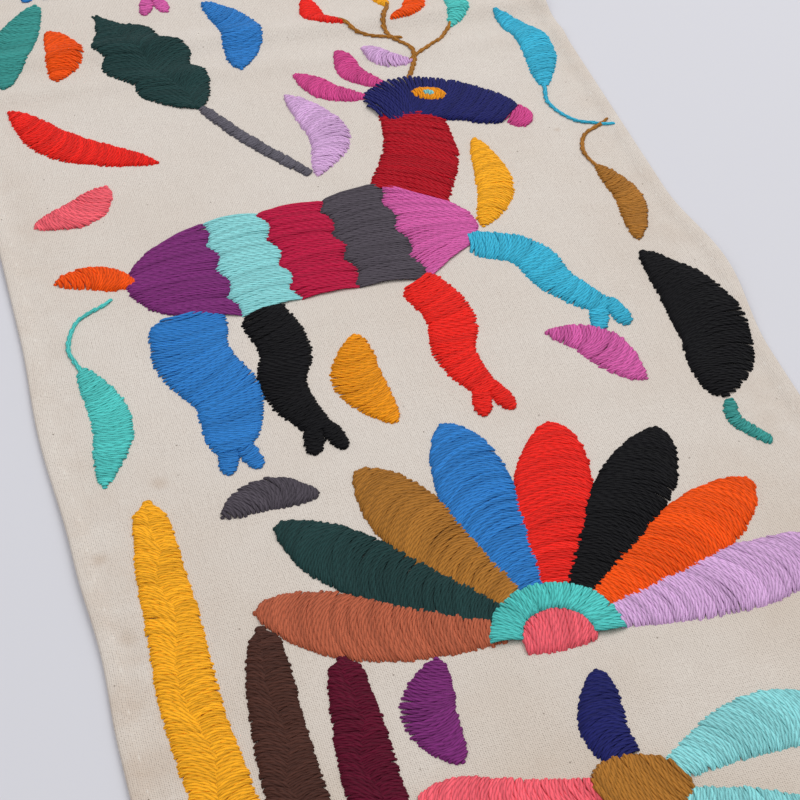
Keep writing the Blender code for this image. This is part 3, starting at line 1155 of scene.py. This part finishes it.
# %% [markdown]
# ## A scalloped leaf, sprigs and blades
# The scalloped leaf and the long blades are worked in paired rows. One row from edge to edge would
# be less work, but the seam of the paired rows looks like the rib of a leaf. A sprig is one leaf on
# a thin curling stalk and fills a small gap. Each is a short function, so that the design needs
# only one line to set it.

# %% Leaves on stalks, and blades
def scalloped_leaf(place, floss, stalk):
    """A broad leaf with a scalloped edge on a straight thick stalk."""
    up = np.linspace(0, 1, SPINE_POINTS)
    half = 5 + 14 * np.sin(math.pi * up ** 0.8) ** 0.7
    half = half * (0.76 + 0.24 * np.abs(np.sin(math.pi * 3.5 * up))) * (1 - up ** 6)
    spine = place(np.stack([np.zeros(SPINE_POINTS), 84 * up], axis=1))
    paired_rows(floss, spine, place.size * half, 32)
    leaf(stalk, [(0, -1), (3, -30), (10, -62)], 6, 0.5, 0.3, (0.7, 0.75), place=place)


def sprig(place, floss, stalk, length=62.0, width=15.0, curl=8.0):
    """One leaf on a thin curling stalk."""
    leaf(floss, [(0, 0), (curl, length / 2), (0, length)], width, 0.48, 0.7, place=place)
    rope(stalk, [(0, 1), (-3, -12), (2, -26), (14, -34)], place=place)


def blade(floss, points, width=16.0):
    """A long leaf, nearly as wide at its foot as at its middle, in paired rows."""
    spine = smooth_line(HERE(points))
    paired_rows(floss, spine, width / 2 * leaf_profile(0.6, 0.3, (0.6, 0.1)))


print("share of a blade's width at its foot and tip:", leaf_profile(0.6, 0.3, (0.6, 0.1))[[0, -1]])

# %% [markdown]
# ## The whole design
# One animal fills the middle and a second one stands beyond it, turned the other way. The fan and
# its flower hang between them and the near end, beside three long blades, and sprigs fill the gaps
# up to blank margins of about 20 mm. Scattering the motifs at random would leave holes and
# overlaps, which a maker avoids, so each has its place.

# %% Set the motifs on the cloth
def design():
    """Every motif, in its place and colours."""
    animal(Place(-16, 8, 2, 1.12), bands=("purple", "aqua", "raspberry", "charcoal", "magenta"),
           legs=("blue", "black", "red", "cyan"), tail="orange", neck="crimson", chest="yellow",
           head="navy", ears="pink", tines=("turquoise", "red", "yellow", "orange", "lilac"),
           beam="ochre", eye=("amber", "aqua"))
    animal(Place(-4, 276, mirror=-1), bands=("red", "turquoise", "navy", "amber", "orchid"),
           legs=("yellow", "black", "magenta", "blue"), tail="teal", neck="orange", chest="aqua",
           head="bottle", ears="salmon", tines=("blue", "raspberry", "ochre", "cyan", "purple"),
           beam="brown", eye=("yellow", "salmon"))

    fan(Place(10, -188, -2), ("rust", "bottle", "ochre", "blue", "red", "black", "orange", "lilac"),
        ("turquoise", "salmon"))
    half_flower(Place(14, -246, 180), (("aqua", 0.9), ("aqua", 1), ("magenta", 0.75), ("aqua", 1),
                ("salmon", 0.85)), "ochre", "navy")
    blade("yellow", [(-74, -352), (-94, -262), (-102, -180), (-98, -98)], 19)
    blade("brown", [(-55, -352), (-73, -280), (-80, -220), (-76, -160)], 18)
    blade("burgundy", [(-36, -352), (-48, -310), (-59, -250), (-55, -178)], 18)

    scalloped_leaf(Place(-34, 114, 20), "bottle", "grey")
    leaf("red", [(-108, 132), (-92, 104), (-58, 82)], 18, 0.45, 0.8)
    leaf("salmon", [(-80, 72), (-94, 58), (-110, 54)], 17, 0.45, 0.8)
    leaf("lilac", [(0, 56), (11, 80), (1, 112)], 17, 0.5, 0.8)
    leaf("teal", [(-86, 208), (-100, 180), (-108, 148)], 19, 0.5, 0.7)
    leaf("orange", [(-86, 148), (-80, 166), (-84, 186)], 16, 0.5, 0.7)
    leaf("black", [(101, -104), (109, -72), (99, -24)], 26, 0.4, 0.7)
    leaf("teal", [(101, -106), (99, -116), (106, -128)], 5.5, 0.5, 0.4, (0.7, 0.7))
    sprig(Place(104, 88, 2, 0.95), "cyan", "cyan")
    sprig(Place(105, 32, 176, 0.78, -1), "ochre", "ochre")
    sprig(Place(-107, -28, 178, 0.95, -1), "turquoise", "turquoise")
    leaf("blue", [(-16, 190), (-6, 164), (-12, 134)], 18, 0.5, 0.7)
    leaf("amber", [(-12, -38), (-17, -60), (-10, -84)], 18, 0.5, 0.7)
    leaf("magenta", [(52, -56), (67, -66), (78, -88)], 17, 0.5, 0.7)
    leaf("purple", [(-28, -186), (-36, -204), (-32, -224)], 17, 0.5, 0.7)
    leaf("crimson", [(100, -192), (108, -218), (98, -250)], 20, 0.5, 0.7)
    leaf("charcoal", [(-76, -111), (-59, -105), (-44, -109)], 15, 0.5, 0.7)

    half_flower(Place(30, -388), (("raspberry", 0.75), ("amber", 0.8), ("cyan", 0.7),
                ("amber", 0.8), ("raspberry", 0.75)), "bottle", "purple")
    half_flower(Place(52, 378, 150), (("orange", 0.6), ("lilac", 0.8), ("orange", 0.7),
                ("lilac", 0.75)), "raspberry", "blue", length=50.0)
    sprig(Place(-30, -402, 62), "orange", "teal")
    sprig(Place(98, -300, 176), "navy", "navy")
    sprig(Place(100, 206, 4), "purple", "ochre")
    sprig(Place(98, 330, 8), "red", "red")
    leaf("teal", [(112, 430), (92, 428), (70, 438)], 13, 0.5, 0.7)


design()
print("shapes drawn:", sum(len(rows) for kept in (shapes, stalks) for rows in kept.values()))

# %% [markdown]
# ## Colours of floss
# Each shape is stitched in one colour of bought floss, 26 in all, bright and flat. They could be
# sampled from a picture, but a short list of hex values is easier to change and to name.

# %% Thread colours
FLOSS_COLOURS = {
    "rust": "B65F42", "bottle": "1D3C3B", "ochre": "AB712B", "blue": "2E7CC6",
    "red": "EF2319", "black": "050408", "orange": "F45205", "lilac": "D7ABD8",
    "orchid": "C798C3", "turquoise": "54C8C1", "salmon": "F86571", "navy": "1D2060",
    "crimson": "B1061C", "yellow": "FBAE20", "purple": "7D2C73", "aqua": "8DD6D7",
    "raspberry": "BB1340", "charcoal": "504951", "magenta": "D55FA5", "brown": "4C2C23",
    "burgundy": "5B0424", "cyan": "3CB4D4", "teal": "3B968F", "pink": "D2488A",
    "amber": "EF9512", "grey": "625E67",
}
print("thread colours:", len(FLOSS_COLOURS))

# %% [markdown]
# ## From shapes to lines
# For each colour the shapes become one mesh of bare lines, whose points carry what the stitches
# need: their reach, the direction along the line, the bow and the layer. Curve objects could carry
# these too, but a mesh of edges takes its points and named attributes as whole arrays.

# %% A mesh of bare lines
def line_mesh(name, rows):
    """Bare lines down the middle of some shapes, with the stitches' needs on their points."""
    starts = SPINE_POINTS * np.arange(len(rows))[:, None] + np.arange(SPINE_POINTS - 1)
    edges = np.stack([starts.ravel(), starts.ravel() + 1], axis=1)
    spines = np.concatenate([row[0] for row in rows])
    mesh = bpy.data.meshes.new(name)
    mesh.from_pydata(np.pad(spines * MM, ((0, 0), (0, 1))).tolist(), edges.tolist(), [])
    for column, (label, scale) in enumerate((("reach", MM), ("along", 1.0)), start=1):
        vectors = np.pad(np.concatenate([row[column] for row in rows]) * scale, ((0, 0), (0, 1)))
        mesh.attributes.new(label, "FLOAT_VECTOR", "POINT").data.foreach_set(
            "vector", vectors.ravel())
    bows = np.concatenate([row[3] for row in rows]) * MM
    layers = np.repeat([float(row[4]) for row in rows], SPINE_POINTS)
    for label, values in (("bow", bows), ("layer", layers)):
        mesh.attributes.new(label, "FLOAT", "POINT").data.foreach_set("value", values)
    return mesh


print("lines to stitch in each colour:", {floss: len(rows) for floss, rows in shapes.items()})

# %% [markdown]
# ## From lines to floss on the cloth
# The tree turns the lines into floss on a flat cloth. Then every point is moved as the cloth
# itself lies, sideways with the bowed edges and up with the creases. A Shrinkwrap could press the
# floss on the cloth too, but it would flatten it, and the functions that shaped the cloth are
# exact. Notes that only the tree needed are dropped, which keeps the pieces light.

# %% Stitch the lines and lay the floss down
SPARE_NOTES = ("root", "reach", "along", "bow", "layer", "fray_start", "fray_end", "drift",
               "slew", "plump", "run", "turn")


def lay_on_cloth(mesh):
    """Move a flat piece's points the way the cloth under them lies."""
    places = np.empty(len(mesh.vertices) * 3)
    mesh.vertices.foreach_get("co", places)
    x, y, z = places.reshape(-1, 3).T
    laid = np.stack([laid_x(x, y), y, z + cloth_top(x, y)], axis=1)
    mesh.vertices.foreach_set("co", laid.ravel())
    mesh.update()


def embroider(name, rows, material, **sizes):
    """Run the stitch tree over some shapes and lay the floss on the cloth as a plain mesh."""
    piece = new_object(name, line_mesh(name, rows))
    modifier = piece.modifiers.new("stitches", "NODES")
    modifier.node_group = satin
    wanted = {"Floss Material": material, **sizes}
    for item in satin.interface.items_tree:
        if item.name in wanted:
            modifier[item.identifier] = wanted[item.name]
    depsgraph = bpy.context.evaluated_depsgraph_get()
    stitched = bpy.data.meshes.new_from_object(piece.evaluated_get(depsgraph))
    piece.modifiers.remove(modifier)
    piece.data = stitched
    for spare in SPARE_NOTES:
        if spare in stitched.attributes:
            stitched.attributes.remove(stitched.attributes[spare])
    lay_on_cloth(stitched)
    return piece


print("notes that each stitch drops at the end:", len(SPARE_NOTES))

# %% [markdown]
# ## Embroider every colour
# The maker works one colour after the other, and so does this loop: one mesh and one material for
# each colour. The stalks are worked in the same floss and by the same tree, but with longer
# spacing and a narrower thread, so they become meshes of their own.

# %% Embroider every colour
STALK_SIZES = {"Stitch Spacing": 3.3 * MM, "Floss Width": 1.5 * MM, "Floss Height": 1.0 * MM,
               "Crown": 0.2 * MM, "Fray": 0.3 * MM, "Waver": 0.15 * MM}
needlework = []
materials = {}
for floss, rows in shapes.items():
    materials[floss] = floss_material(floss, FLOSS_COLOURS[floss])
    needlework.append(embroider("floss_" + floss, rows, materials[floss]))
for floss, rows in stalks.items():
    needlework.append(embroider("stalk_" + floss, rows, materials[floss], **STALK_SIZES))
print("pieces of floss:", len(needlework), "with",
      sum(len(piece.data.polygons) for piece in needlework), "faces")

# %% [markdown]
# ## Floor and even light
# The cloth lies on a pale, matt surface in soft light. White boards around it could throw light
# into the shadows, but an even, pale world gives the same soft fill from all sides, and a wide
# plane is floor enough.

# %% Floor and world
bpy.ops.mesh.primitive_plane_add(size=6.0)
floor = bpy.context.object
floor.name = "floor"
paper, _ = new_material("matt pale paper", {"Base Color": linear("D6D5DA"), "Roughness": 0.9})
floor.data.materials.append(paper)

world = bpy.data.worlds.new("pale room")
world.use_nodes = True
world.node_tree.nodes["Background"].inputs["Color"].default_value = linear("F4F6FA")
world.node_tree.nodes["Background"].inputs["Strength"].default_value = 0.55
bpy.context.scene.world = world
print("floor, metres:", tuple(floor.dimensions))

# %% [markdown]
# ## Lamps and camera
# The light is soft daylight. Large area lights give it without a picture of a sky. The main one
# stands to the right, so the hem on that side has a bright rim and the left edge a narrow soft
# shadow. The camera stands in front of the cloth, half way up, turned a little, with a long lens
# that keeps the stitches in proportion.

# %% Lamps and camera
def soft_light(name, place, size, power, aim=(0.0, -0.05, 0.0)):
    """A large square lamp at a place, facing the cloth."""
    lamp = bpy.data.lights.new(name, "AREA")
    lamp.size = size
    lamp.energy = power
    light = new_object(name, lamp)
    light.location = place
    light.rotation_euler = (Vector(aim) - Vector(place)).to_track_quat("-Z", "Y").to_euler()


soft_light("window light", (1.3, 0.9, 1.75), 1.7, 31.0)
soft_light("fill light", (-1.2, -0.6, 1.8), 1.6, 10.0)
bpy.context.scene.view_settings.view_transform = "Standard"

lens = bpy.data.cameras.new("camera")
lens.lens = 90
lens.sensor_width = 36
camera = new_object("camera", lens)
camera.location = (-0.1476, -0.55, 0.4644)
camera.rotation_euler = (math.radians(46.96), 0.0, math.radians(-16.57))
bpy.context.scene.camera = camera
print("camera at", tuple(camera.location), "with a lens of", lens.lens, "mm")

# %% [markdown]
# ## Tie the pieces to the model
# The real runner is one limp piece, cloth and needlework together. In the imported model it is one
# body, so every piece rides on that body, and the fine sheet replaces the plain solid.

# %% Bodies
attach(cloth, "root")
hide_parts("cloth")
for piece in needlework:
    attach(piece, "root")
